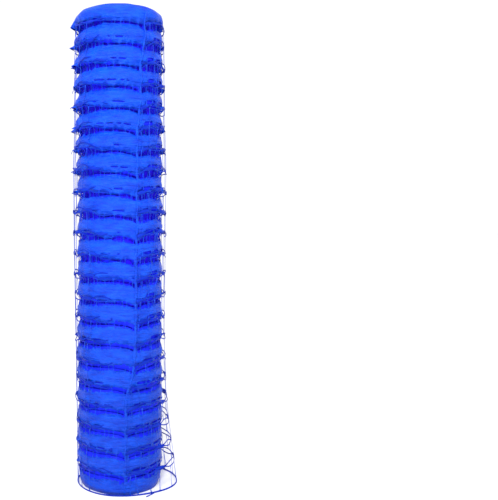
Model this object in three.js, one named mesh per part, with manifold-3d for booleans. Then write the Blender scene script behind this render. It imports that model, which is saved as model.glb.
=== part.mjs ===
// A roll of plastic safety fencing, stood on its end: a net of drawn polyethylene wound on itself,
// tight at the core, with its outermost turn working loose and flaring out at the foot.
// Millimetres. +Z is up along the roll's axis, -Y is the front, +X is the right.

import * as THREE from 'three';
import { mergeVertices } from 'three/addons/utils/BufferGeometryUtils.js';
import Module from 'manifold-3d';

// The net
const NET_WIDTH = 1000;
const OPENING_ROWS = 22;
const ROW_PITCH = 44;
const OPENING_HEIGHT = 18;
const FIRST_ROW = (NET_WIDTH - (OPENING_ROWS - 1) * ROW_PITCH) / 2;

// The tight roll. Its side bulges at each band and sinks at each row of openings.
const BORE_RADIUS = 26;
const BAND_RADIUS = 92;
const OPENING_DEPTH = 7;
const ROLL_SIDES = 24;

// The turns as they show on the ends: rings of net edges with hollows between them
const RING_COUNT = 5;
const RING_HOLLOW_DEPTH = 5;
const RING_CREST_WIDTH = 4;

// The loose outer turn. Its angles run from the front towards the right. Its free end leans: it lies
// further round at the top than at the foot.
const TURN_WALL = 2.4;
const TURN_SEAT = 1.8;
const TURN_START_FOOT_DEG = 8;
const TURN_START_TOP_DEG = 28;
const TURN_END_DEG = 350;
const START_LIFT_DEG = 80;
const START_LIFT_SHARE = 0.15;
const END_SETTLE_DEG = 60;
const RIGHT_DEG = 90;
const RIGHT_PEAK = 3;
// height as a share of the net's width, then how far the loose turn stands off the bands on the right
// and on the left
const TURN_STATIONS = [
  [0, 30, 4],
  [0.045, 25, 4],
  [0.085, 19, 4],
  [0.155, 10, 4],
  [0.24, 6, 4],
  [0.36, 4, 4],
  [0.54, 6, 7],
  [0.68, 10, 9],
  [0.725, 7, 7],
  [0.765, 0, 0],
];

// The cells of the loose turn: each pitch has a pair of strands, shown as one strap, and an open cell
// above it. The strands' heights are above the row of openings, and the widths are shares of the turn.
const STRAP_FOOT = 4;
const STRAP_TOP = 18;
const BORDER_HEIGHT = 5;
const TURN_ROWS = 17;
const CELLS_ROUND = 6;
const CELL_FACETS = 4;
const RIB_SHARE = 0.012;
const FREE_END_SHARE = 0.018;

const COLOUR = 0x1f5cf0;

/** The closed outline, radius by height, that is turned into the tight roll. */
function rollOutline() {
  const points = [new THREE.Vector2(BORE_RADIUS, 0)];
  const ringPitch = (BAND_RADIUS - BORE_RADIUS) / RING_COUNT;
  const hollow = (index) => BORE_RADIUS + index * ringPitch;
  const addRings = (order, face, inward) => {
    for (const index of order) {
      const corners = [
        [hollow(index) - RING_CREST_WIDTH / 2, face],
        [hollow(index), face + inward * RING_HOLLOW_DEPTH],
        [hollow(index) + RING_CREST_WIDTH / 2, face],
      ];
      if (inward < 0) corners.reverse();
      corners.forEach(([radius, height]) => points.push(new THREE.Vector2(radius, height)));
    }
  };
  const between = Array.from({ length: RING_COUNT - 1 }, (_, i) => i + 1);
  addRings(between, 0, 1);
  points.push(new THREE.Vector2(BAND_RADIUS, 0));
  for (let row = 0; row < OPENING_ROWS; row += 1) {
    const middle = FIRST_ROW + row * ROW_PITCH;
    points.push(new THREE.Vector2(BAND_RADIUS, middle - OPENING_HEIGHT / 2));
    points.push(new THREE.Vector2(BAND_RADIUS - OPENING_DEPTH, middle));
    points.push(new THREE.Vector2(BAND_RADIUS, middle + OPENING_HEIGHT / 2));
  }
  points.push(new THREE.Vector2(BAND_RADIUS, NET_WIDTH));
  addRings([...between].reverse(), NET_WIDTH, -1);
  points.push(new THREE.Vector2(BORE_RADIUS, NET_WIDTH));
  points.push(points[0].clone());
  return points;
}

function tightRoll() {
  const geometry = new THREE.LatheGeometry(rollOutline(), ROLL_SIDES);
  geometry.rotateX(Math.PI / 2);
  return geometry;
}

/** How far the loose turn stands off the bands at a height, on one side: 1 is the right, 2 the left. */
function standOff(height, side) {
  const share = height / NET_WIDTH;
  const above = TURN_STATIONS.findIndex(([stationShare]) => stationShare > share);
  if (above < 0) return TURN_STATIONS[TURN_STATIONS.length - 1][side];
  if (above === 0) return TURN_STATIONS[0][side];
  const [low, high] = [TURN_STATIONS[above - 1], TURN_STATIONS[above]];
  return THREE.MathUtils.mapLinear(share, low[0], high[0], low[side], high[side]);
}

/** A point of the loose turn: a share of the way round, a height, and a depth into its wall. */
function turnPoint(share, height, depth) {
  const top = TURN_STATIONS[TURN_STATIONS.length - 1][0] * NET_WIDTH;
  const start = THREE.MathUtils.lerp(TURN_START_FOOT_DEG, TURN_START_TOP_DEG, height / top);
  const degrees = THREE.MathUtils.lerp(start, TURN_END_DEG, share);
  const angle = THREE.MathUtils.degToRad(degrees);
  const rightShare = ((1 + Math.cos(angle - THREE.MathUtils.degToRad(RIGHT_DEG))) / 2) ** RIGHT_PEAK;
  const lift = THREE.MathUtils.lerp(
    START_LIFT_SHARE, 1, THREE.MathUtils.smoothstep(degrees - start, 0, START_LIFT_DEG));
  const settle = Math.min(1, (TURN_END_DEG - degrees) / END_SETTLE_DEG);
  const off = THREE.MathUtils.lerp(standOff(height, 2), standOff(height, 1), rightShare);
  const radius = BAND_RADIUS - TURN_SEAT + off * lift * settle + depth;
  return [radius * Math.sin(angle), -radius * Math.cos(angle), height];
}

/** The upright stripes of the loose turn: its free end, then cells with a rib after each. */
function turnColumns() {
  const cellShare = (1 - FREE_END_SHARE) / CELLS_ROUND - RIB_SHARE;
  const columns = [{ from: 0, open: false }];
  for (let cell = 0; cell < CELLS_ROUND; cell += 1) {
    const cellStart = FREE_END_SHARE + cell * (cellShare + RIB_SHARE);
    for (let facet = 0; facet < CELL_FACETS; facet += 1) {
      columns.push({ from: cellStart + (facet * cellShare) / CELL_FACETS, open: true });
    }
    columns.push({ from: cellStart + cellShare, open: false });
  }
  return columns;
}

/** The level stripes of the loose turn: its border, then an open cell and a strap for each row. */
function turnRows() {
  const rows = [{ from: 0, open: false }, { from: BORDER_HEIGHT, open: true }];
  for (let row = 0; row < TURN_ROWS; row += 1) {
    const middle = FIRST_ROW + row * ROW_PITCH;
    rows.push({ from: middle + STRAP_FOOT, open: false });
    if (row < TURN_ROWS - 1) rows.push({ from: middle + STRAP_TOP, open: true });
  }
  return rows;
}

/** The outer turn as a thin wall with its cells left open. */
function looseTurn() {
  const columns = turnColumns();
  const rows = turnRows();
  const turnTop = FIRST_ROW + (TURN_ROWS - 1) * ROW_PITCH + STRAP_TOP;
  const shares = [...columns.map((column) => column.from), 1];
  const heights = [...rows.map((row) => row.from), turnTop];
  const isWall = (row, column) => {
    if (!rows[row] || !columns[column]) return false;
    return !(rows[row].open && columns[column].open);
  };
  const outer = (row, column) => turnPoint(shares[column], heights[row], TURN_WALL);
  const inner = (row, column) => turnPoint(shares[column], heights[row], 0);
  const corners = [];
  const addFace = (a, b, c, d) => corners.push(...a, ...b, ...c, ...a, ...c, ...d);
  for (let row = 0; row < rows.length; row += 1) {
    for (let column = 0; column < columns.length; column += 1) {
      if (!isWall(row, column)) continue;
      const [up, on] = [row + 1, column + 1];
      addFace(outer(row, column), outer(row, on), outer(up, on), outer(up, column));
      addFace(inner(row, column), inner(up, column), inner(up, on), inner(row, on));
      if (!isWall(row - 1, column)) {
        addFace(outer(row, column), inner(row, column), inner(row, on), outer(row, on));
      }
      if (!isWall(up, column)) {
        addFace(outer(up, column), outer(up, on), inner(up, on), inner(up, column));
      }
      if (!isWall(row, column - 1)) {
        addFace(outer(row, column), outer(up, column), inner(up, column), inner(row, column));
      }
      if (!isWall(row, on)) {
        addFace(outer(row, on), inner(row, on), inner(up, on), outer(up, on));
      }
    }
  }
  const geometry = new THREE.BufferGeometry();
  geometry.setAttribute('position', new THREE.Float32BufferAttribute(corners, 3));
  return geometry;
}

const wasm = await Module();
wasm.setup();

/** A closed three.js geometry as a manifold-3d solid. */
function asSolid(geometry) {
  geometry.deleteAttribute('normal');
  geometry.deleteAttribute('uv');
  const merged = mergeVertices(geometry, 1e-3);
  return new wasm.Manifold(new wasm.Mesh({
    numProp: 3,
    vertProperties: new Float32Array(merged.attributes.position.array),
    triVerts: new Uint32Array(merged.index.array),
  }));
}

function asGeometry(solid) {
  const mesh = solid.getMesh();
  const geometry = new THREE.BufferGeometry();
  geometry.setAttribute('position', new THREE.BufferAttribute(mesh.vertProperties, 3));
  geometry.setIndex(new THREE.BufferAttribute(mesh.triVerts, 1));
  geometry.computeVertexNormals();
  return geometry;
}

const net = new THREE.Mesh(
  asGeometry(asSolid(tightRoll()).add(asSolid(looseTurn()))),
  new THREE.MeshStandardMaterial({ color: COLOUR, roughness: 0.35, metalness: 0 }),
);
net.name = 'fencing_roll';

// The origin is the middle of the foot of the roll's bounding box.
const bounds = new THREE.Box3().setFromObject(net);
const middle = bounds.getCenter(new THREE.Vector3());
net.position.set(-middle.x, -middle.y, -bounds.min.z);

const group = new THREE.Group();
group.add(net);

export default group;
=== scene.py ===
import math

import bpy
import numpy as np
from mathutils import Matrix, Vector


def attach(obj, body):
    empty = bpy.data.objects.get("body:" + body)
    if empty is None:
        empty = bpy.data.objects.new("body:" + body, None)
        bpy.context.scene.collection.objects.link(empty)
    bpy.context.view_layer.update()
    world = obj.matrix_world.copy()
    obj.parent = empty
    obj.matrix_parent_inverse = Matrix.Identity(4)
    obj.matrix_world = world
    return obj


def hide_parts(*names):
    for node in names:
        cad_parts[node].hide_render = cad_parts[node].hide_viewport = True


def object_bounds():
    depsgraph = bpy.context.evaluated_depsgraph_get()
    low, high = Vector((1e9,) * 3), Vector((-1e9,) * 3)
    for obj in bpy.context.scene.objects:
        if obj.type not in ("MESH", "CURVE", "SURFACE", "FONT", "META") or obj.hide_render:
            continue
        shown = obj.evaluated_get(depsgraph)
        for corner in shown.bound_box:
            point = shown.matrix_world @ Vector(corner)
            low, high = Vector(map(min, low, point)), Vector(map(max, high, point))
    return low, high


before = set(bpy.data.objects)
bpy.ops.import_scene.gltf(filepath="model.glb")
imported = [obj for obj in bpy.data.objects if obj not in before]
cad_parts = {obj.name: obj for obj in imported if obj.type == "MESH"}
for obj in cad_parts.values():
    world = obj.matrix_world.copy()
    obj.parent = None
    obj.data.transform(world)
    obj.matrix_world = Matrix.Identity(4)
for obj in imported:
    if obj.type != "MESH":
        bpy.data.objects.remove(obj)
cad_low, cad_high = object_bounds()

# The net, in metres. Heights are above the floor, and angles run from the front towards the right.
NODE = "fencing_roll"
NET_WIDTH = cad_high.z - cad_low.z
OPENING_ROWS = 22
ROW_PITCH = 0.044
FIRST_ROW = (NET_WIDTH - (OPENING_ROWS - 1) * ROW_PITCH) / 2
FILM_THICKNESS = 0.0006

# Each pitch holds a row of openings crossed by drawn threads, a row of short slits and a wide film.
OPENING_HALF_FRONT = 0.0032
OPENING_HALF_SIDE = 0.0100
OPENING_HALF_MOST = 0.0110
OPENING_HALF_LEAST = 0.0008
OPENING_LOW_EXTRA = 0.0032
OPENING_MIDDLE_EXTRA = 0.0034
OPENING_MIDDLE_HEIGHT = (0.5, 0.14)
OPENING_MIDDLE_ANGLE = (math.radians(8), math.radians(15))
OPENING_WANDER = 0.0013
FLAT_MIDDLE = math.radians(-2)
FLAT_REACH = (math.radians(12), math.radians(50))
LOW_OPENINGS = (0.22, 0.50)
LOW_SIDE_SHRINK = 0.3
INNER_LOW_SHRINK = 0.75
THREAD_PULL = 0.12
ROW_WANDER = 0.0013
EDGE_WANDER = 0.0007
EDGE_RAGGED_SHARE = 0.55
WAIST_SINK = 0.0012
SLIT_ABOVE_ROW = 0.0140
WIDE_SLIT_ABOVE_ROW = 0.0165
SLIT_HALF_SHUT = 0.0003
SLIT_HALF_OPEN = 0.0014
WIDE_SLIT_HALF = 0.0042
SLIT_TURNS = 2
SLIT_COLUMNS = (3, 7)
SLIT_GAP_COLUMNS = (1, 3)
SLIT_FIRST_COLUMNS = (0, 5)
SLIT_CHANCE = 0.10
LOW_LEFT_SLIT_CHANCE = 0.70
LOW_LEFT_ANGLE = (math.radians(-40), math.radians(10))
LOW_LEFT_HEIGHTS = (0.3, 0.4)
WIDE_SLIT_CHANCE = 0.92
WIDE_SLIT_EXTRA_COLUMNS = 4
WIDE_SLIT_HEIGHTS = (0.15, 0.35)
WIDE_SLIT_LOW_SHARE = 0.35
WIDE_SLITS_START = (math.radians(2), math.radians(5))
WIDE_SLITS_END = (math.radians(85), math.radians(110))
FRONT_DASH_MIDDLE = math.radians(-3)
FRONT_DASHES = (0.052, 0.027)
FRONT_DASH_CLEAR = 0.030
FRONT_DASH_HEIGHTS = (0.40, 0.75)
FRONT_DASH_SHARES = (0.8, 1.1)
FRONT_DASH_BROKEN = 0.12
FILM_STEPS = (0.0205, 0.0232, 0.0260, 0.0287, 0.0315)
THREAD_COLUMNS = (3, 8)
THREAD_EDGE_WIDTH = 0.50
THREAD_WAIST_WIDTH = 0.28

# The roll. Its bands bulge out to the crest and sink in at each row of openings.
BORE_RADIUS = 0.026
BAND_RADIUS = 0.092
CREST_HIGH_UP = 0.0950
CREST_LOW_DOWN = 0.0910
CREST_LEAN = 0.0030
ROW_RADIUS = 0.0885
RISE_ABOVE_ROW = (0.004, 0.014)
RISE_BELOW_ROW = (0.005, 0.020)
HIGH_BANDS_START = 0.51
HIGH_BANDS_LEAN = 0.09
HIGH_BANDS_RISE = 0.17
TUCKED_FOOT = 0.006
TUCKED_FOOT_HEIGHT = 0.035
FOOT_OUT_SHARE = 0.7
FOOT_OUT_MIDDLE = math.radians(5)
FOOT_OUT_SPREAD = math.radians(32)
FOOT_EDGE = 0.0005
TOP_EDGE = 0.0012
TOP_DROP = 0.0050
TOP_WANDER = 0.0010
END_BAND_HEIGHT = 0.0110
TOP_HEM = 0.0060
BROAD_RIPPLE = 0.0008
FINE_RIPPLE = 0.0002
TURN_PITCH = 0.0013
TIGHT_TURNS = 4
TURN_COLUMNS = 180
TURN_START = math.radians(150)
CORE_RADIUS = 0.0805
CORE_FOOT_RADIUS = 0.0785
CORE_TOP_RADIUS = 0.0832
CORE_END_HEIGHT = 0.024
CORE_STEP = 0.006
CORE_COLUMNS = 128
DEEP_THREAD_LAYERS = 4
DEEP_THREAD_GAP = 0.0154
DEEP_THREAD_HALF = 0.014
DEEP_THREAD_LEAN = 0.012
DEEP_THREAD_BOW = 0.002
DEEP_THREAD_WIDTH = 0.0010
DEEP_THREAD_FOOT_EXTRA = 0.0016
END_TURNS = 24
END_EDGE = 0.0005
END_GROOVE = 0.0030
END_WANDER = 0.00035
# Points on the bands' lower edges: the side in degrees that they lie round, their reach and number.
FRILLS = (
    (-88, 0.0160, 3),
    (88, 0.0075, 4),
    (150, 0.0070, 4),
    (-150, 0.0070, 4),
)
FRILL_SCATTER = 16
FRILL_SPREADS = (3.5, 7)
FRILL_SHARES = (0.35, 1.0)
FRILL_HEIGHTS = (0.45, 0.6)
FRILL_LOW_SHARE = 0.35
FRILL_FADE = 0.3

# The free end of the net leans: height, then its angle in degrees.
FREE_END_STATIONS = (
    (0.000, 6),
    (0.196, 8),
    (0.256, 18),
    (0.317, 21),
    (0.741, 23),
    (0.785, 27),
    (0.883, 28),
    (0.923, 34),
    (1.000, 35),
)

# The outermost turn is loose. It stands off the bands under it and settles on them at its inner end.
TURN_END = math.radians(350)
END_SETTLE = math.radians(60)
START_LIFT_SHARE = 0.15
START_LIFT = math.radians(80)
END_SINK = 0.0030
END_SINK_SPREAD = math.radians(50)
RIGHT_PEAK = 3
STRAND_CLEARANCE = 0.0008
THREAD_CLEARANCE = 0.0006
# Height, then how far the loose turn stands off the bands on the right and on the left.
TURN_STATIONS = (
    (0.000, 0.030, -0.0015),
    (0.045, 0.025, -0.001),
    (0.085, 0.019, 0.000),
    (0.155, 0.010, 0.001),
    (0.240, 0.006, 0.002),
    (0.360, 0.004, 0.004),
    (0.540, 0.006, 0.007),
    (0.680, 0.008, 0.008),
    (0.765, 0.005, 0.006),
    (1.000, 0.003, 0.004),
)

# The loose turn's net: pairs of strands that meet at nodes, with thin threads from one pair to the next.
PAIR_ABOVE_ROW = 0.0110
TOP_PAIR_ABOVE_ROW = 0.0050
PAIR_APART = 0.0110
BORDER_HEIGHT = 0.0016
BORDER_WIDTHS = (0.0020, 0.0030)
BORDER_THICKNESS = 0.0022
TOP_PAIR_APART_SHARE = 0.3
LENS_LENGTHS = (0.045, 0.080)
LENS_OPENS = 0.026
FIRST_NODE = (0.004, 0.03)
STRAND_COLUMNS = 150
STRAND_WIDTH = 0.0022
STRAND_THICKNESS = 0.0014
STRAND_WANDER = 0.0022
STRAND_DEPTH_WANDER = 0.0015
NODE_WIDTH = 0.0085
NODE_LENGTH = 0.014
THREAD_SPACING = (0.014, 0.034)
THREAD_LEAN = 0.03
THREADS_END = TURN_END - math.radians(30)
CROWDED_SHARE = 0.75
CROWDED_ANGLE = (math.radians(-88), math.radians(16))
THREAD_WIDTH = 0.0013
THREAD_FOOT_EXTRA = 0.0020
THREAD_THICKNESS = 0.0007
FREE_END_WIDTH = 0.0060
FREE_END_THICKNESS = 0.0010
FREE_END_WANDER = 0.010
FREE_END_DIP = 0.010
FREE_END_DIP_SPREAD = math.radians(11)

# Cut ends of strands stick out at both sides, and one long end lies at the foot.
CUT_END_FIRST_ROW = 9
CUT_END_MISSING = 0.35
CUT_END_SIDES = (70, 96)
CUT_END_REACH = (0.004, 0.010)
CUT_END_HANG = (-0.012, 0.004)
CUT_END_THICKNESS = 0.0010
FOOT_END_ANGLES = (math.radians(46), math.radians(29))
FOOT_END_RADII = (0.1010, 0.1095)
FOOT_END_WIDTHS = (0.0022, 0.0016)
FOOT_END_THICKNESS = 0.0018

# The blues, dark and light in patches. All are painted a little darker low down, below the two heights:
# painted shade towards the foot.
FILM_BLUES = ((0.001, 0.036, 0.54), (0.002, 0.084, 0.78))
STRAND_BLUES = ((0.003, 0.018, 0.36), (0.006, 0.034, 0.48))
# Painted shade: a darker, deeper blue copy of the film for the turns further in and their threads, seen
# through the openings.
PAINTED_SHADE_BLUES = ((0.008, 0.016, 0.72), (0.014, 0.030, 0.90))
# Painted shade: a purple-blue copy of the film for the core's wall deep in the roll, seen through the
# openings.
DEPTH_PAINTED_SHADE_BLUES = ((0.026, 0.006, 0.90), (0.036, 0.010, 1.00))
FILM_ROUGHNESS = 0.38
# Painted shade towards the foot: every blue is scaled down to the share below, from the upper height to
# the lower one.
PAINTED_FOOT_SHADE_HEIGHTS = (0.15, 0.50)
PAINTED_FOOT_SHADE = 0.86

# The camera looks level. The roll is at the left of the picture, so the lens is shifted.
PICTURE = (498, 500)
ROLL_PIXEL_X = 120
HORIZON_PIXEL_Y = 224.5
CAMERA_DISTANCE = 1.462
CAMERA_HEIGHT = 0.550
FOCAL_PIXELS = 678
SENSOR = 36.0

# The studio: an even white world, one soft key light and a floor that reaches past the horizon.
WORLD_STRENGTH = 1.06
KEY_LEFT = 0.22
KEY_FORWARD = 1.85
KEY_HEIGHT = 1.90
KEY_SIZE = (0.4, 0.9)
KEY_POWER = 52
KEY_AIM_HEIGHT = 0.7
FLOOR_REACH = 60.0


def axis_of_roll():
    """The middle of the bore, found from the ring of points round the roll's top end."""
    points = np.array([v.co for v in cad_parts[NODE].data.vertices])
    top = points[points[:, 2] > cad_high.z - 1e-5]
    return (top[:, 0].min() + top[:, 0].max()) / 2, (top[:, 1].min() + top[:, 1].max()) / 2


AXIS_X, AXIS_Y = axis_of_roll()


def smooth(value, low, high):
    """Rises from 0 at low to 1 at high, flat at both ends."""
    share = np.clip((value - low) / (high - low), 0, 1)
    return share * share * (3 - 2 * share)


def bump(value, middle, spread):
    """1 at the middle, falling away to 0 on both sides."""
    return np.exp(-(((value - middle) / spread) ** 2))


def turned(angle):
    """The same angle between -180 and 180 degrees."""
    return (angle + math.pi) % (2 * math.pi) - math.pi


def ripples(seed, u, v, waves, size_u, size_v):
    """A smooth random field of about -1 to 1: a sum of plane waves of about the given sizes."""
    rng = np.random.default_rng(seed)
    total = np.zeros(np.broadcast(u, v).shape)
    for _ in range(waves):
        turn = rng.uniform(0, 2 * math.pi)
        stretch = rng.uniform(0.6, 1.6)
        phase = rng.uniform(0, 2 * math.pi)
        total += np.sin(
            2 * math.pi * (math.cos(turn) * u / size_u + math.sin(turn) * v / size_v) / stretch + phase
        )
    return total / math.sqrt(waves)


def around(angle, radius, height):
    """Points round the roll's axis, as an array of x, y, z."""
    return np.stack(
        (AXIS_X + radius * np.sin(angle), AXIS_Y - radius * np.cos(angle), height + 0 * angle), axis=-1
    )


def free_end_angle(height):
    """Where the net's free end lies at a height."""
    heights = [station[0] for station in FREE_END_STATIONS]
    return np.radians(np.interp(height, heights, [station[1] for station in FREE_END_STATIONS]))


def row_height(row):
    """The middle of a row of openings, counted from the foot."""
    return FIRST_ROW + row * ROW_PITCH


def row_sag(seed, angle, height):
    """How far a row wanders from level: a little at random, and down to a point at the free end."""
    off_end = np.abs(turned(angle - free_end_angle(height)))
    dip = FREE_END_DIP * np.exp(-off_end / FREE_END_DIP_SPREAD)
    wander = ripples(seed, angle * BAND_RADIUS, height, waves=8, size_u=0.11, size_v=0.5)
    return ROW_WANDER * wander - dip


def opening_half(angle, height, turn, seed):
    """Half the height of a row of openings: narrow where the net is pulled flat at the front."""
    low_down = 1 - smooth(height, *LOW_OPENINGS)
    wide = smooth(np.abs(turned(angle - FLAT_MIDDLE)), *FLAT_REACH) * (1 - LOW_SIDE_SHRINK * low_down)
    half = OPENING_HALF_FRONT + (OPENING_HALF_SIDE - OPENING_HALF_FRONT) * wide
    at_middle = bump(height, *OPENING_MIDDLE_HEIGHT) * bump(turned(angle), *OPENING_MIDDLE_ANGLE)
    wander = ripples(seed, angle * BAND_RADIUS, height, waves=8, size_u=0.06, size_v=0.07)
    half = half + OPENING_MIDDLE_EXTRA * at_middle + OPENING_WANDER * wander
    if turn == 0:
        half = half + OPENING_LOW_EXTRA * low_down
    else:
        half = half * (1 - INNER_LOW_SHRINK * low_down)
    return np.clip(half, OPENING_HALF_LEAST, OPENING_HALF_MOST)


def band_radius(angle, height):
    """The outside of the tight roll: bands with a lower edge that hangs over the openings."""
    to_row = (height - FIRST_ROW + ROW_PITCH / 2) % ROW_PITCH - ROW_PITCH / 2
    starts = HIGH_BANDS_START - HIGH_BANDS_LEAN * np.sin(angle)
    high_up = smooth(height, starts, starts + HIGH_BANDS_RISE)
    crest = CREST_LOW_DOWN + (CREST_HIGH_UP - CREST_LOW_DOWN) * high_up
    crest = crest - CREST_LEAN * high_up * np.sin(angle)
    out = np.where(to_row > 0, smooth(to_row, *RISE_ABOVE_ROW), smooth(-to_row, *RISE_BELOW_ROW))
    at_front = bump(turned(angle - FOOT_OUT_MIDDLE), 0, FOOT_OUT_SPREAD)
    foot = TUCKED_FOOT * (1 - smooth(height, 0.0, TUCKED_FOOT_HEIGHT)) * (1 - FOOT_OUT_SHARE * at_front)
    return ROW_RADIUS + (crest - ROW_RADIUS) * out - foot


def frill(seed, angle, row):
    """How far the lower edge of a band stands out in points, most at the left."""
    rng = np.random.default_rng(seed + row)
    out = np.zeros(angle.shape)
    high_up = FRILL_LOW_SHARE + (1 - FRILL_LOW_SHARE) * smooth(row_height(row), *FRILL_HEIGHTS)
    for side, reach, count in FRILLS:
        for _ in range(count):
            middle = math.radians(side + rng.uniform(-FRILL_SCATTER, FRILL_SCATTER))
            spread = math.radians(rng.uniform(*FRILL_SPREADS))
            tall = reach * rng.uniform(*FRILL_SHARES) * high_up
            out = np.maximum(out, tall * bump(turned(angle - middle), 0, spread))
    return out


def whole_number(rng, span):
    """A random whole number between the two ends of the span, which count as well."""
    return int(rng.integers(span[0], span[1] + 1))


def thread_columns(rng, columns):
    """True for each column that holds a drawn thread, spaced at random."""
    marks = np.zeros(columns, bool)
    at = int(rng.integers(0, THREAD_COLUMNS[1]))
    while at < columns:
        marks[at] = True
        at += whole_number(rng, THREAD_COLUMNS)
    return marks


def slit_chance(angle, height):
    """How likely a slit stands open: rarely, but often low down at the left of the front."""
    low_left = bump(turned(angle), *LOW_LEFT_ANGLE) * (1 - smooth(height, *LOW_LEFT_HEIGHTS))
    return SLIT_CHANCE + LOW_LEFT_SLIT_CHANCE * low_left


def wide_slit_share(angle, height):
    """1 where the row of slits is pulled open into a second row of openings, right of the free end."""
    past_end = turned(angle - free_end_angle(height))
    return smooth(past_end, *WIDE_SLITS_START) * (1 - smooth(past_end, *WIDE_SLITS_END))


def slit_columns(row, angles, height):
    """True for each column where the slit stands open, in short dashes with film between them."""
    rng = np.random.default_rng(4000 + row)
    columns = len(angles) - 1
    marks = np.zeros(columns, bool)
    at = whole_number(rng, SLIT_FIRST_COLUMNS)
    while at < columns:
        wide = wide_slit_share(angles[at], height)
        length = whole_number(rng, SLIT_COLUMNS) + int(WIDE_SLIT_EXTRA_COLUMNS * wide)
        if rng.random() < max(slit_chance(angles[at], height), WIDE_SLIT_CHANCE * wide):
            marks[at : at + length] = True
        at += length + whole_number(rng, SLIT_GAP_COLUMNS)
    off_dash = np.abs(turned(angles[:-1] - FRONT_DASH_MIDDLE)) * BAND_RADIUS
    length = FRONT_DASHES[row % 2] * smooth(height, *FRONT_DASH_HEIGHTS) * rng.uniform(*FRONT_DASH_SHARES)
    marks[off_dash < FRONT_DASH_CLEAR] = False
    marks |= (off_dash < length / 2) & (rng.random(columns) > FRONT_DASH_BROKEN)
    return marks


def mesh_object(name, points, faces, *materials):
    """points: an array of x, y, z; faces: a list of the points' numbers round each face."""
    mesh = bpy.data.meshes.new(name)
    mesh.from_pydata(points.tolist(), [], faces)
    mesh.update()
    mesh.polygons.foreach_set("use_smooth", np.ones(len(mesh.polygons), bool))
    for material in materials:
        mesh.materials.append(material)
    piece = bpy.data.objects.new(name, mesh)
    bpy.context.scene.collection.objects.link(piece)
    return piece


def drop_loose_points(points, quads):
    """Leaves out the points that no face uses and numbers the rest again."""
    used = np.unique(quads)
    renumber = np.zeros(len(points), int)
    renumber[used] = np.arange(len(used))
    return points[used], renumber[quads]


def thicken(piece, thickness):
    """Gives the sheet its real thickness and applies it, so the piece is closed."""
    solid = piece.modifiers.new("thickness", "SOLIDIFY")
    solid.thickness = thickness
    solid.offset = 0
    graph = bpy.context.evaluated_depsgraph_get()
    mesh = bpy.data.meshes.new_from_object(piece.evaluated_get(graph))
    piece.modifiers.clear()
    piece.data = mesh
    return piece


def sheet(name, rows, holes, material):
    """Joins rows of points into one film. A hole names a row and the columns that stay film there."""
    points = np.concatenate(rows)
    grid = np.arange(len(points)).reshape(len(rows), len(rows[0]))
    keep = np.ones((len(rows) - 1, len(rows[0]) - 1), bool)
    for row, kept in holes:
        keep[row] = kept
    corners = np.stack((grid[:-1, :-1], grid[:-1, 1:], grid[1:, 1:], grid[1:, :-1]), axis=-1)
    points, quads = drop_loose_points(points, corners[keep])
    return thicken(mesh_object(name, points, quads.tolist(), material), FILM_THICKNESS)


def top_edge(angle, seed):
    """The upper border of a turn: it drops a little towards the right."""
    drop = TOP_DROP * smooth(turned(angle), math.radians(5), math.radians(45))
    wander = ripples(seed, angle * BAND_RADIUS, 0.0, waves=6, size_u=0.09, size_v=1.0)
    return NET_WIDTH - TOP_EDGE - drop - TOP_WANDER * (1 + wander) / 2


def sides_of(columns):
    """For each line between columns, how many of the two columns beside it are marked."""
    count = np.zeros(len(columns) + 1)
    count[:-1] += columns
    count[1:] += columns
    return count


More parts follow.
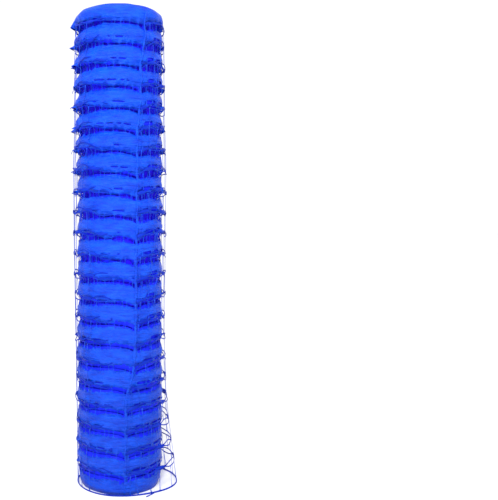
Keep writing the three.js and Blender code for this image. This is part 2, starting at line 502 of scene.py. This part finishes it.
def tight_turn(turn, material):
    """One turn of the tight roll: a grid of columns with its openings and slits left out."""
    seed = 100 * (turn + 1)
    rng = np.random.default_rng(seed)
    angles = TURN_START + 2 * math.pi * np.linspace(0, 1, TURN_COLUMNS + 1)
    inward = TURN_PITCH * (turn + (angles - TURN_START) / (2 * math.pi))
    flat = np.zeros(TURN_COLUMNS + 1)
    rows, holes = [], []

    def add_row(height, outward=0.0, shift=0.0):
        run = angles * BAND_RADIUS
        radius = band_radius(angles, height) - inward + outward
        radius = radius + BROAD_RIPPLE * ripples(50, run, height, waves=12, size_u=0.045, size_v=0.028)
        radius = radius + FINE_RIPPLE * ripples(60, run, height, waves=16, size_u=0.070, size_v=0.007)
        rows.append(around(angles + shift, radius, height))
        return len(rows) - 1

    def narrowed(threads, width):
        """Moves the two sides of each thread's column together, to a share of the column's width."""
        step = 2 * math.pi / TURN_COLUMNS * (1 - width) / 2
        shift = np.zeros(TURN_COLUMNS + 1)
        shift[:-1] += np.where(threads, step, 0)
        shift[1:] -= np.where(threads, step, 0)
        return shift

    add_row(flat + FOOT_EDGE)
    add_row(flat + END_BAND_HEIGHT)
    for row in range(OPENING_ROWS):
        middle = row_height(row)
        line = middle + row_sag(seed + 7, angles, middle)
        threads = thread_columns(rng, TURN_COLUMNS)
        off_end = np.abs(turned(angles[:-1] - free_end_angle(middle))) * BAND_RADIUS
        film = off_end < FREE_END_WIDTH / 2
        half = opening_half(angles, middle, turn, seed + 1)
        wander = ripples(seed + 3, angles * BAND_RADIUS, middle, waves=10, size_u=0.016, size_v=0.2)
        rough = EDGE_WANDER * wander
        ragged = half * (1 - rng.uniform(0.0, EDGE_RAGGED_SHARE, TURN_COLUMNS + 1))
        upper = half * (1 - THREAD_PULL * np.clip(sides_of(threads | film), 0, 1))
        edge_shift = narrowed(threads & ~film, THREAD_EDGE_WIDTH)
        below = add_row(line - ragged, rough, edge_shift)
        centre = add_row(line, -WAIST_SINK, narrowed(threads & ~film, THREAD_WAIST_WIDTH))
        above_out = rough + (frill(seed, angles, row) if turn == 0 else 0)
        add_row(line + upper, above_out, edge_shift)
        holes.append((below, threads | film))
        holes.append((centre, threads | film))
        if row == OPENING_ROWS - 1:
            break
        opened = slit_columns(row, angles, middle) & (turn < SLIT_TURNS)
        low_share = WIDE_SLIT_LOW_SHARE + (1 - WIDE_SLIT_LOW_SHARE) * smooth(middle, *WIDE_SLIT_HEIGHTS)
        wide = wide_slit_share(angles, middle) * low_share
        open_half = SLIT_HALF_OPEN + (WIDE_SLIT_HALF - SLIT_HALF_OPEN) * wide
        gape = np.where(sides_of(opened) == 2, open_half, SLIT_HALF_SHUT)
        lips = line + SLIT_ABOVE_ROW + (WIDE_SLIT_ABOVE_ROW - SLIT_ABOVE_ROW) * wide
        slit = add_row(lips - gape, FRILL_FADE * above_out)
        add_row(lips + gape)
        holes.append((slit, ~opened))
        for step in FILM_STEPS:
            add_row(middle + step + (line - middle) * (1 - step / ROW_PITCH))
    top = top_edge(angles, seed + 9)
    add_row((row_height(OPENING_ROWS - 1) + END_BAND_HEIGHT + top) / 2)
    add_row(top - TOP_HEM)
    add_row(top)
    return sheet(f"net_turn_{turn + 1}", rows, holes, material)


class Strips:
    """Gathers closed flat strips, each along a path on the roll, into one mesh."""

    CORNERS = ((-1, -0.5), (0, -1), (1, -0.5), (1, 0.5), (0, 1), (-1, 0.5))

    def __init__(self):
        self.points, self.faces, self.count = [], [], 0

    def add(self, path, width, thickness):
        """path: points; width: their width across the path; thickness: their depth towards the roll."""
        path = np.asarray(path)
        along = np.gradient(path, axis=0)
        along /= np.linalg.norm(along, axis=1, keepdims=True)
        outward = path - np.array((AXIS_X, AXIS_Y, 0.0))
        outward[:, 2] = 0
        outward -= along * np.sum(outward * along, axis=1, keepdims=True)
        outward /= np.linalg.norm(outward, axis=1, keepdims=True)
        across = np.cross(along, outward)
        width = np.broadcast_to(width, len(path))[:, None] / 2
        for side, depth in self.CORNERS:
            self.points.append(path + across * width * side + outward * (thickness / 2 * depth))
        size, sides = len(path), len(self.CORNERS)
        index = self.count + np.arange(sides)[:, None] * size + np.arange(size)[None, :]
        beside = np.roll(index, -1, axis=0)
        quads = np.stack((index[:, :-1], beside[:, :-1], beside[:, 1:], index[:, 1:]), axis=-1)
        self.faces.extend(quads.reshape(-1, 4).tolist())
        self.faces.append(index[::-1, 0].tolist())
        self.faces.append(index[:, -1].tolist())
        self.count += size * sides

    def piece(self, name, material):
        """Makes one piece of all the strips."""
        return mesh_object(name, np.concatenate(self.points), self.faces, material)


def deep_threads(material):
    """The drawn threads of the turns further in, seen through the openings."""
    rng = np.random.default_rng(41)
    strips = Strips()
    for layer in range(DEEP_THREAD_LAYERS):
        radius = ROW_RADIUS - TURN_PITCH * (TIGHT_TURNS + 0.4 + layer)
        for row in range(OPENING_ROWS):
            middle = row_height(row)
            angle = rng.uniform(0, 0.2)
            while angle < 2 * math.pi:
                lean = rng.normal(0, DEEP_THREAD_LEAN)
                share = np.linspace(-1, 1, 5)
                angles = angle + lean * share
                line = middle + row_sag(500 + layer, np.array(angle), middle)
                path = around(angles, radius + DEEP_THREAD_BOW * share**2, line + DEEP_THREAD_HALF * share)
                width = DEEP_THREAD_WIDTH + DEEP_THREAD_FOOT_EXTRA * share**4
                strips.add(path, width, FILM_THICKNESS)
                angle += rng.uniform(0.6, 1.8) * DEEP_THREAD_GAP / radius
    return strips.piece("net_deep_threads", material)


def stand_off(height):
    """How far the loose turn stands off on the right and on the left at a height."""
    heights = [station[0] for station in TURN_STATIONS]
    right = np.interp(height, heights, [station[1] for station in TURN_STATIONS])
    left = np.interp(height, heights, [station[2] for station in TURN_STATIONS])
    return right, left


def loose_radius(angles, height):
    """The loose turn's distance from the axis: it stands off most on the right and ends on the roll."""
    right, left = stand_off(height)
    right_share = ((1 + np.cos(angles - math.pi / 2)) / 2) ** RIGHT_PEAK
    past_start = angles - free_end_angle(height)
    lift = START_LIFT_SHARE + (1 - START_LIFT_SHARE) * smooth(past_start, 0, START_LIFT)
    settle = np.clip((TURN_END - angles) / END_SETTLE, 0, 1)
    off = (left + (right - left) * right_share) * lift * settle
    sunk = END_SINK * (1 - smooth(TURN_END - angles, 0, END_SINK_SPREAD)) * smooth(height, 0.005, 0.01)
    outside = band_radius(angles, height)
    return np.maximum(BAND_RADIUS + off, outside + STRAND_CLEARANCE) - sunk


def loose_strands(material):
    """The border ring and the pairs of strands, which part into long lenses and meet at nodes."""
    strips = Strips()
    rng = np.random.default_rng(17)
    lines = []
    start = free_end_angle(BORDER_HEIGHT)
    angles = np.linspace(start, start + 2 * math.pi, STRAND_COLUMNS)
    heights = np.full(len(angles), BORDER_HEIGHT)
    to_right = (1 + np.cos(angles - math.radians(75))) / 2
    width = BORDER_WIDTHS[0] + (BORDER_WIDTHS[1] - BORDER_WIDTHS[0]) * to_right
    strips.add(around(angles, loose_radius(angles, heights), heights), width, BORDER_THICKNESS)
    lines.append((angles, heights, heights))
    for row in range(OPENING_ROWS):
        at_top = row == OPENING_ROWS - 1
        middle = row_height(row) + (TOP_PAIR_ABOVE_ROW if at_top else PAIR_ABOVE_ROW)
        angles = np.linspace(free_end_angle(middle), TURN_END, STRAND_COLUMNS)
        run = (angles - angles[0]) * BAND_RADIUS
        nodes = [rng.uniform(*FIRST_NODE)]
        while nodes[-1] < run[-1]:
            nodes.append(nodes[-1] + rng.uniform(*LENS_LENGTHS))
        nearest = np.min(np.abs(run[:, None] - np.array(nodes)[None, :]), axis=1)
        apart = smooth(nearest, NODE_LENGTH / 3, LENS_OPENS) * (TOP_PAIR_APART_SHARE if at_top else 1)
        wander = ripples(700 + row, run, 0.0, waves=6, size_u=0.09, size_v=1.0)
        line = middle + STRAND_WANDER * wander + row_sag(107, angles, middle)
        edges = []
        for side in (-1, 1):
            heights = line + side * (PAIR_APART / 2) * apart
            wander = ripples(800 + row, run, side, waves=6, size_u=0.05, size_v=3.0)
            radius = loose_radius(angles, heights) + STRAND_DEPTH_WANDER * wander
            width = STRAND_WIDTH + (NODE_WIDTH - STRAND_WIDTH) * (1 - smooth(nearest, 0, NODE_LENGTH))
            strips.add(around(angles, radius, heights), width, STRAND_THICKNESS)
            edges.append(heights)
        lines.append((angles, edges[0], edges[1]))
    return strips.piece("net_loose_strands", material), lines


def loose_threads(lines, material):
    """Thin threads from each pair of strands up to the next, wider at both ends, crowded at the left."""
    strips = Strips()
    rng = np.random.default_rng(23)
    for (angles, _, low), (angles_above, high, _) in zip(lines[:-1], lines[1:]):
        angle = angles[0] + rng.uniform(0.05, 0.15)
        while angle < THREADS_END:
            lean = rng.normal(0, THREAD_LEAN)
            share = np.linspace(0, 1, 7)
            foot = np.interp(angle, angles, low)
            head = np.interp(angle + lean, angles_above, high)
            path_angles = angle + lean * share
            heights = foot + (head - foot) * share
            radius = loose_radius(path_angles, heights)
            straight = radius[0] + (radius[-1] - radius[0]) * share
            outside = band_radius(path_angles, heights)
            radius = np.maximum(straight, outside + THREAD_CLEARANCE)
            width = THREAD_WIDTH + THREAD_FOOT_EXTRA * np.abs(2 * share - 1) ** 5
            strips.add(around(path_angles, radius, heights), width, THREAD_THICKNESS)
            crowded = 1 - CROWDED_SHARE * bump(turned(angle), *CROWDED_ANGLE)
            angle += rng.uniform(*THREAD_SPACING) / BAND_RADIUS * crowded
    return strips.piece("net_loose_threads", material)


def free_end(material):
    """The upright free end of the net, a strip of film that ties the ends of the strands together."""
    heights = np.linspace(0.003, NET_WIDTH - 0.012, 220)
    sideways = ripples(61, 0.0, heights, waves=8, size_u=1.0, size_v=0.05)
    angles = free_end_angle(heights) + FREE_END_WANDER * sideways
    width = FREE_END_WIDTH * (0.85 + 0.25 * ripples(62, 0.0, heights, waves=8, size_u=1.0, size_v=0.03))
    crest = band_radius(angles, heights + ROW_PITCH / 2)
    radius = np.maximum(band_radius(angles, heights) - 0.0004, crest - 0.0035)
    strips = Strips()
    strips.add(around(angles, radius, heights), width, FREE_END_THICKNESS)
    return strips.piece("net_free_end", material)


def cut_ends(material):
    """Short cut ends of strands that stick out at the sides, and the long one at the foot."""
    rng = np.random.default_rng(77)
    strips = Strips()
    share = np.linspace(0, 1, 8)
    for side in (-1, 1):
        for row in range(CUT_END_FIRST_ROW, OPENING_ROWS):
            if rng.random() < CUT_END_MISSING:
                continue
            middle = row_height(row) + rng.uniform(0.008, 0.016)
            angle = side * math.radians(rng.uniform(*CUT_END_SIDES))
            reach = rng.uniform(*CUT_END_REACH)
            hang = rng.uniform(*CUT_END_HANG)
            angles = angle + side * rng.uniform(-0.02, 0.05) * share
            radius = band_radius(angles, np.array(middle)) + reach * np.sin(share * rng.uniform(1.5, 2.6))
            heights = middle + hang * share**2
            width = 0.0018 * (1 - 0.7 * share)
            strips.add(around(angles, radius, heights), width, CUT_END_THICKNESS)
    angles = np.linspace(*FOOT_END_ANGLES, len(share))
    radius = np.linspace(*FOOT_END_RADII, len(share))
    width = np.linspace(*FOOT_END_WIDTHS, len(share))
    strips.add(around(angles, radius, BORDER_HEIGHT), width, FOOT_END_THICKNESS)
    return strips.piece("net_cut_ends", material)


def core(wall_material, edge_material):
    """The turns further in: rings of net edges on each end, and a plain wall under the openings."""
    angles = np.linspace(0, 2 * math.pi, CORE_COLUMNS, endpoint=False)
    rings = END_TURNS * 2
    hollows = [END_EDGE if ring % 2 else END_GROOVE for ring in range(rings + 1)]

    def end_radius(ring, outside):
        return BORE_RADIUS + (outside - BORE_RADIUS) * ring / rings

    foot = [(end_radius(ring, CORE_FOOT_RADIUS), hollow) for ring, hollow in enumerate(hollows)]
    top = [(end_radius(ring, CORE_TOP_RADIUS), NET_WIDTH - hollow) for ring, hollow in enumerate(hollows)]
    wall_top = NET_WIDTH - CORE_END_HEIGHT
    wall = [(CORE_FOOT_RADIUS, CORE_END_HEIGHT), (CORE_RADIUS, CORE_END_HEIGHT + CORE_STEP)]
    wall += [(CORE_RADIUS, wall_top - CORE_STEP), (CORE_TOP_RADIUS, wall_top)]
    profile = foot + wall + top[::-1]
    points = []
    for index, (radius, height) in enumerate(profile):
        wander = ripples(900 + index, angles * radius, height, waves=4, size_u=0.05, size_v=1.0)
        points.append(around(angles, radius + END_WANDER * wander, height))
    grid = np.arange(len(profile) * CORE_COLUMNS).reshape(len(profile), CORE_COLUMNS)
    beside = np.roll(grid, -1, axis=1)
    quads = np.stack((grid, beside, np.roll(beside, -1, axis=0), np.roll(grid, -1, axis=0)), axis=-1)
    faces = quads.reshape(-1, 4).tolist()
    piece = mesh_object("net_inner_turns", np.concatenate(points), faces, wall_material, edge_material)
    on_an_end = np.ones(len(profile), int)
    on_an_end[rings : rings + len(wall) + 1] = 0
    piece.data.polygons.foreach_set("material_index", np.repeat(on_an_end, CORE_COLUMNS))
    return piece


def new_material(name):
    """A material with its nodes, its links and its shader."""
    material = bpy.data.materials.new(name)
    material.use_nodes = True
    nodes = material.node_tree.nodes
    return material, nodes, material.node_tree.links, nodes["Principled BSDF"]


def streaks(nodes, links, place, squash, scale, roughness):
    """A noise texture squashed in height, so that it runs in streaks round the roll."""
    mapping = nodes.new("ShaderNodeMapping")
    mapping.inputs["Scale"].default_value = (1, 1, squash)
    links.new(place.outputs["Object"], mapping.inputs["Vector"])
    noise = nodes.new("ShaderNodeTexNoise")
    noise.inputs["Scale"].default_value = scale
    noise.inputs["Detail"].default_value = 6
    noise.inputs["Roughness"].default_value = roughness
    links.new(mapping.outputs["Vector"], noise.inputs["Vector"])
    return noise


def film_material(name, dark, light, gloss, relief_depth):
    """Drawn polyethylene film: saturated blue, semi-gloss, with fine drawing lines round the roll, and
    painted shade that darkens it towards the foot.
    """
    material, nodes, links, shader = new_material(name)
    shader.inputs["Roughness"].default_value = FILM_ROUGHNESS
    shader.inputs["Specular IOR Level"].default_value = gloss
    place = nodes.new("ShaderNodeTexCoord")
    patches = streaks(nodes, links, place, squash=3, scale=30, roughness=0.72)
    tone = nodes.new("ShaderNodeValToRGB")
    tone.color_ramp.elements[0].position = 0.35
    tone.color_ramp.elements[0].color = (*dark, 1)
    tone.color_ramp.elements[1].position = 0.65
    tone.color_ramp.elements[1].color = (*light, 1)
    links.new(patches.outputs["Fac"], tone.inputs["Fac"])
    # Painted shade: the colour is scaled down towards the foot, below the two heights.
    height = nodes.new("ShaderNodeSeparateXYZ")
    links.new(place.outputs["Object"], height.inputs["Vector"])
    share = nodes.new("ShaderNodeMapRange")
    share.inputs["From Min"].default_value = PAINTED_FOOT_SHADE_HEIGHTS[0]
    share.inputs["From Max"].default_value = PAINTED_FOOT_SHADE_HEIGHTS[1]
    share.inputs["To Min"].default_value = PAINTED_FOOT_SHADE
    links.new(height.outputs["Z"], share.inputs["Value"])
    lower = nodes.new("ShaderNodeVectorMath")
    lower.operation = "SCALE"
    links.new(tone.outputs["Color"], lower.inputs[0])
    links.new(share.outputs["Result"], lower.inputs["Scale"])
    links.new(lower.outputs["Vector"], shader.inputs["Base Color"])
    lines = streaks(nodes, links, place, squash=7, scale=26, roughness=0.62)
    relief = nodes.new("ShaderNodeBump")
    relief.inputs["Strength"].default_value = 0.8
    relief.inputs["Distance"].default_value = relief_depth
    links.new(lines.outputs["Fac"], relief.inputs["Height"])
    links.new(relief.outputs["Normal"], shader.inputs["Normal"])
    return material


def dress(piece):
    """Sets which body a piece rides on and hides the node that it replaces."""
    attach(piece, "root")
    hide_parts(NODE)


def floor():
    """The pale floor, which is stage and not part of the roll."""
    material, _, _, shader = new_material("pale_floor")
    shader.inputs["Base Color"].default_value = (0.96, 0.96, 0.96, 1)
    shader.inputs["Roughness"].default_value = 0.9
    corners = FLOOR_REACH * np.array(((-1, -1, 0), (1, -1, 0), (1, 1, 0), (-1, 1, 0)))
    mesh_object("floor", corners, [(0, 1, 2, 3)], material)


def area_light(name, location, target, size, power):
    """A rectangular light that faces the target."""
    data = bpy.data.lights.new(name, "AREA")
    data.shape = "RECTANGLE"
    data.size, data.size_y = size
    data.energy = power
    light = bpy.data.objects.new(name, data)
    light.location = location
    light.rotation_euler = (Vector(target) - Vector(location)).to_track_quat("-Z", "Y").to_euler()
    bpy.context.scene.collection.objects.link(light)


def studio():
    """The even white world and the key light, up in front of the roll and a little to the left."""
    world = bpy.data.worlds.new("studio")
    world.use_nodes = True
    world.node_tree.nodes["Background"].inputs["Color"].default_value = (1, 1, 1, 1)
    world.node_tree.nodes["Background"].inputs["Strength"].default_value = WORLD_STRENGTH
    bpy.context.scene.world = world
    target = (AXIS_X, AXIS_Y, KEY_AIM_HEIGHT)
    area_light("key_softbox", (AXIS_X - KEY_LEFT, -KEY_FORWARD, KEY_HEIGHT), target, KEY_SIZE, KEY_POWER)


def camera():
    """The camera of the photograph, level and shifted."""
    data = bpy.data.cameras.new("camera")
    data.sensor_width = SENSOR
    data.sensor_fit = "AUTO"
    data.lens = FOCAL_PIXELS * SENSOR / max(PICTURE)
    data.shift_x = (PICTURE[0] / 2 - ROLL_PIXEL_X) / max(PICTURE)
    data.shift_y = -(PICTURE[1] / 2 - HORIZON_PIXEL_Y) / max(PICTURE)
    data.clip_start = 0.05
    eye = bpy.data.objects.new("camera", data)
    eye.location = (AXIS_X, AXIS_Y - CAMERA_DISTANCE, CAMERA_HEIGHT)
    eye.rotation_euler = (math.pi / 2, 0, 0)
    bpy.context.scene.collection.objects.link(eye)
    bpy.context.scene.camera = eye


camera()
studio()
floor()
film = film_material("drawn_blue_film", *FILM_BLUES, gloss=0.18, relief_depth=0.0090)
strand = film_material("thick_blue_strand", *STRAND_BLUES, gloss=0.05, relief_depth=0.0010)
# Painted shade: a darker blue copy of the film for the turns further in.
painted_shade_film = film_material("inner_film_painted_shade", *PAINTED_SHADE_BLUES, gloss=0.03, relief_depth=0.0010)
# Painted shade: a purple copy of the film for the core's wall.
depth_painted_shade = film_material("depth_painted_shade_film", *DEPTH_PAINTED_SHADE_BLUES, gloss=0.02, relief_depth=0.0010)
# The core's wall takes the purple painted-shade copy; its end rings take the film's own blue.
dress(core(depth_painted_shade, film))
# The deep threads take the darker painted-shade copy of the film.
dress(deep_threads(painted_shade_film))
# The outer turn is the film's own blue; the turns further in take the painted-shade copy.
for turn in range(TIGHT_TURNS):
    dress(tight_turn(turn, film if turn == 0 else painted_shade_film))
strands, strand_lines = loose_strands(strand)
dress(strands)
dress(loose_threads(strand_lines, film))
dress(free_end(film))
dress(cut_ends(strand))

bpy.context.scene.view_settings.view_transform = "Standard"
